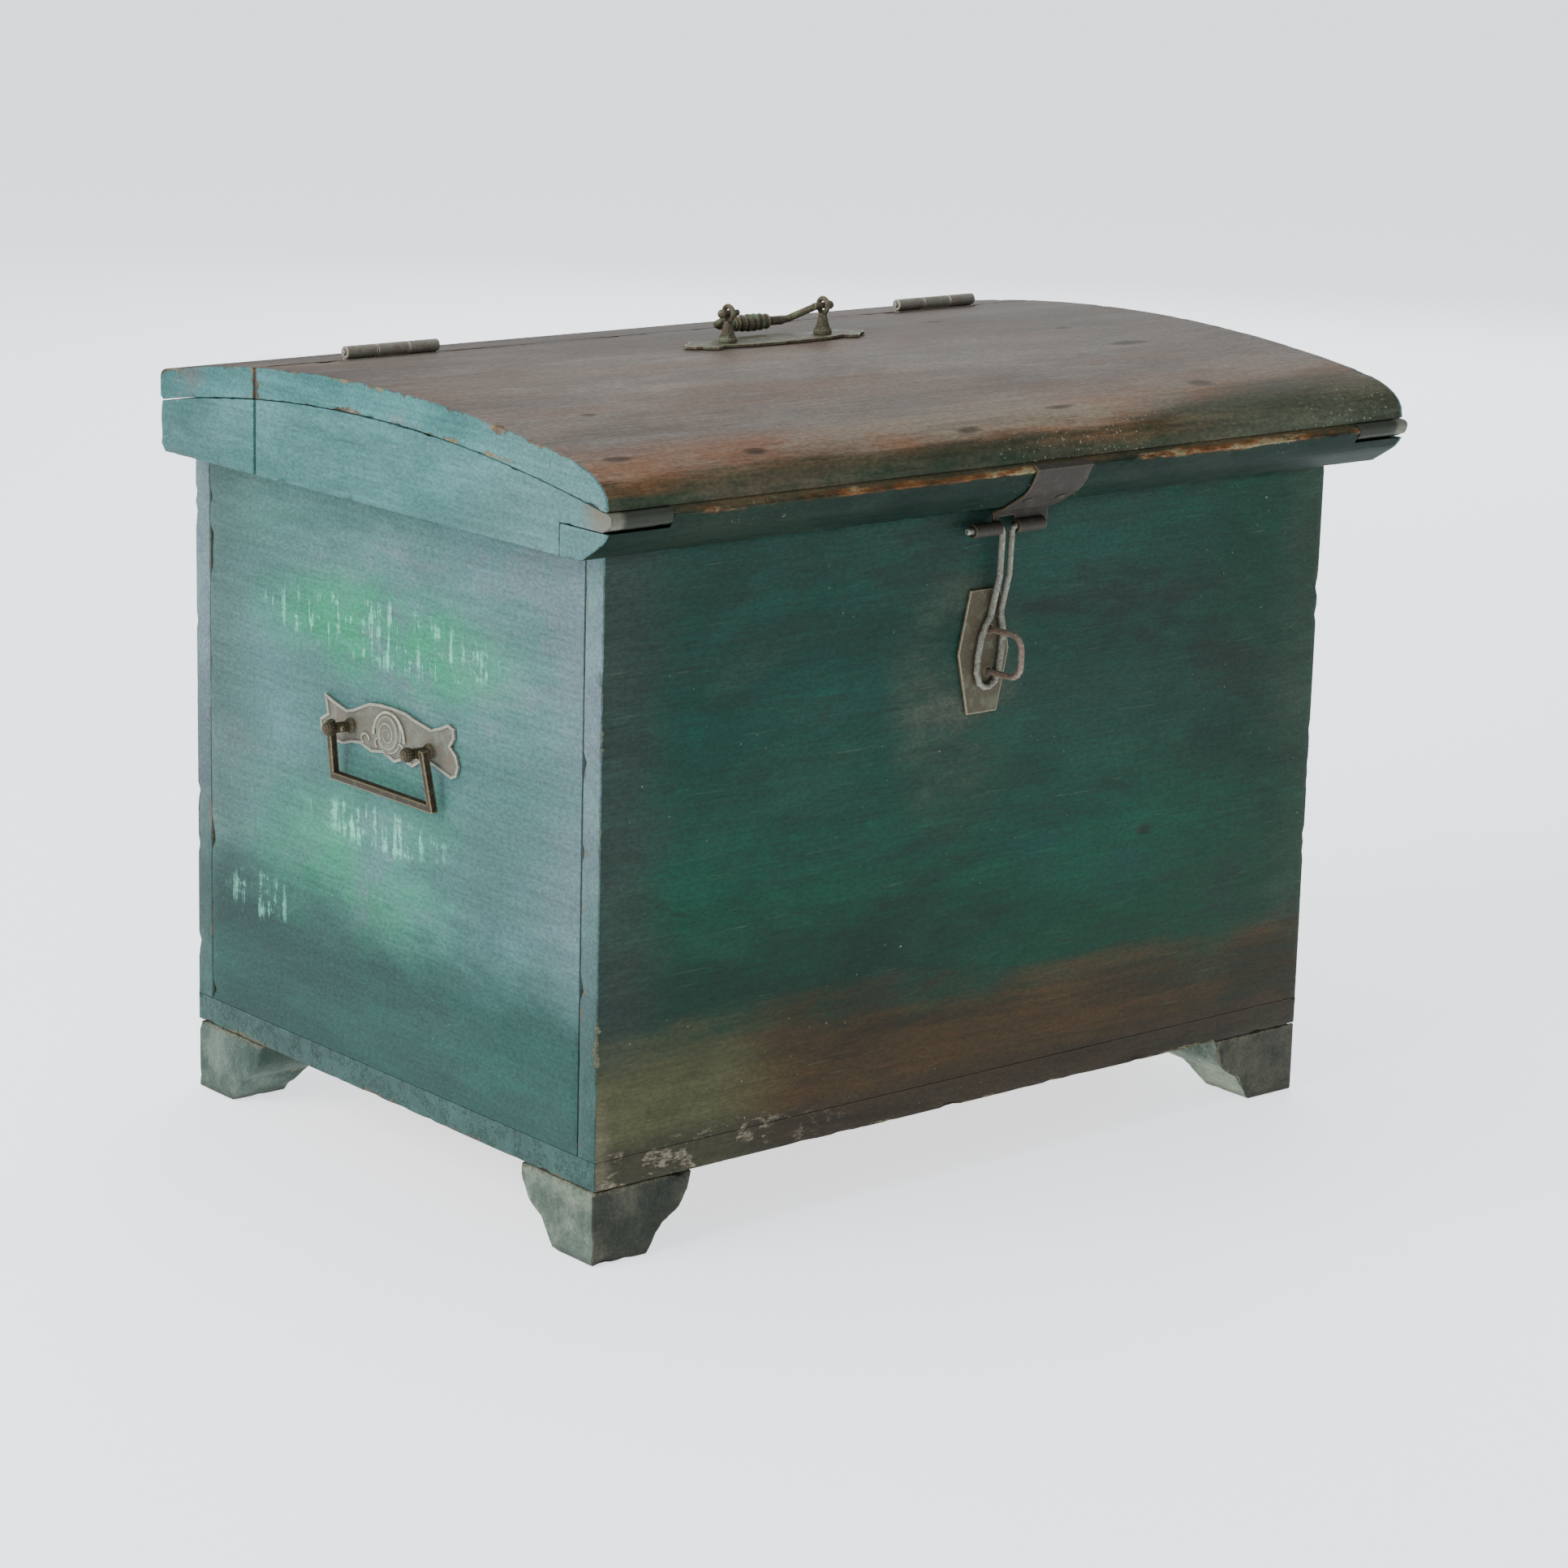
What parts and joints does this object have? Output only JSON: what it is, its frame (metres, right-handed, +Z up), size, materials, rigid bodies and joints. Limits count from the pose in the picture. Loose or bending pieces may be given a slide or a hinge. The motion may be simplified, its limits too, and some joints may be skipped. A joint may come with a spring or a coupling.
{
  "type": "wooden cash chest",
  "caption": "Low wooden cash chest on carved bracket feet, with a crowned lid hinged to a fixed rear strip, a wire hasp and staple, and iron drop handles on the lid and both ends.",
  "frame": {"origin": "on the floor, under the middle of the whole chest", "axes": "+Z up, -Y towards the front with the hasp, +X to the chest's right as seen from the front"},
  "size_m": [0.658, 0.4813, 0.5346],
  "materials": {
    "paint_green": "worn dark green paint over wood",
    "paint_teal": "faded grey-teal paint over wood",
    "worn_wood": "bare, greyed and handled wood",
    "grey_green": "thin grey-green paint over wood",
    "old_iron": "browned iron with green-grey tarnish",
    "wire_iron": "rubbed bright iron wire"
  },
  "bodies": {
    "case": {"staple_plate": "old_iron", "staple": "old_iron", "left_handle_plate": "old_iron", "left_handle_front_post": "old_iron", "left_handle_rear_post": "old_iron", "left_hinge_fixed_leaf": "old_iron", "left_hinge_pin": "old_iron", "left_fixed_screw_1": "old_iron", "left_fixed_screw_2": "old_iron", "left_fixed_screw_3": "old_iron", "right_handle_plate": "old_iron", "right_handle_front_post": "old_iron", "right_handle_rear_post": "old_iron", "right_hinge_fixed_leaf": "old_iron", "right_hinge_pin": "old_iron", "right_fixed_screw_1": "old_iron", "right_fixed_screw_2": "old_iron", "right_fixed_screw_3": "old_iron", "base_board": "paint_green", "front_board": "paint_green", "back_board": "paint_green", "left_side_board": "paint_teal", "right_side_board": "paint_teal", "strip_left_cheek": "paint_teal", "strip_right_cheek": "paint_teal", "strip_top_board": "worn_wood", "strip_seam_rail": "worn_wood", "strip_back_rail": "worn_wood", "front_left_foot": "grey_green", "front_right_foot": "grey_green", "rear_left_foot": "grey_green", "rear_right_foot": "grey_green"},
    "lid": {"lid_top_board": "worn_wood", "lid_left_cheek": "paint_teal", "lid_right_cheek": "paint_teal", "lid_front_rail": "paint_green", "lid_seam_rail": "worn_wood", "hasp_strap": "old_iron", "strap_nail_1": "old_iron", "strap_nail_2": "old_iron", "top_handle_plate": "old_iron", "top_handle_left_post": "old_iron", "top_handle_right_post": "old_iron", "left_hinge_lid_leaf": "old_iron", "right_hinge_lid_leaf": "old_iron", "left_lid_screw_1": "old_iron", "left_lid_screw_2": "old_iron", "left_lid_screw_3": "old_iron", "right_lid_screw_1": "old_iron", "right_lid_screw_2": "old_iron", "right_lid_screw_3": "old_iron"},
    "hasp": {"hasp_wire": "wire_iron"},
    "top_grip": {"top_bail": "old_iron"},
    "left_grip": {"left_bail": "old_iron"},
    "right_grip": {"right_bail": "old_iron"}
  },
  "joints": [
    {"name": "lid_hinge", "type": "hinge", "parent": "case", "child": "lid", "pos_m": [0, 0.1258, 0.50632], "axis": [-1, 0, 0], "range_deg": [0, 170]},
    {"name": "hasp_swing", "type": "hinge", "parent": "lid", "child": "hasp", "pos_m": [0.0075, -0.20215, 0.4202], "axis": [-1, 0, 0], "range_deg": [0, 125]},
    {"name": "top_grip_swing", "type": "hinge", "parent": "lid", "child": "top_grip", "pos_m": [0.006, 0.02335, 0.5282], "axis": [1, 0, 0], "range_deg": [0, 229]},
    {"name": "left_grip_swing", "type": "hinge", "parent": "case", "child": "left_grip", "pos_m": [-0.3125, 0.01535, 0.284], "axis": [0, 1, 0], "range_deg": [0, 196]},
    {"name": "right_grip_swing", "type": "hinge", "parent": "case", "child": "right_grip", "pos_m": [0.3125, 0.01535, 0.284], "axis": [0, -1, 0], "range_deg": [0, 196]}
  ]
}
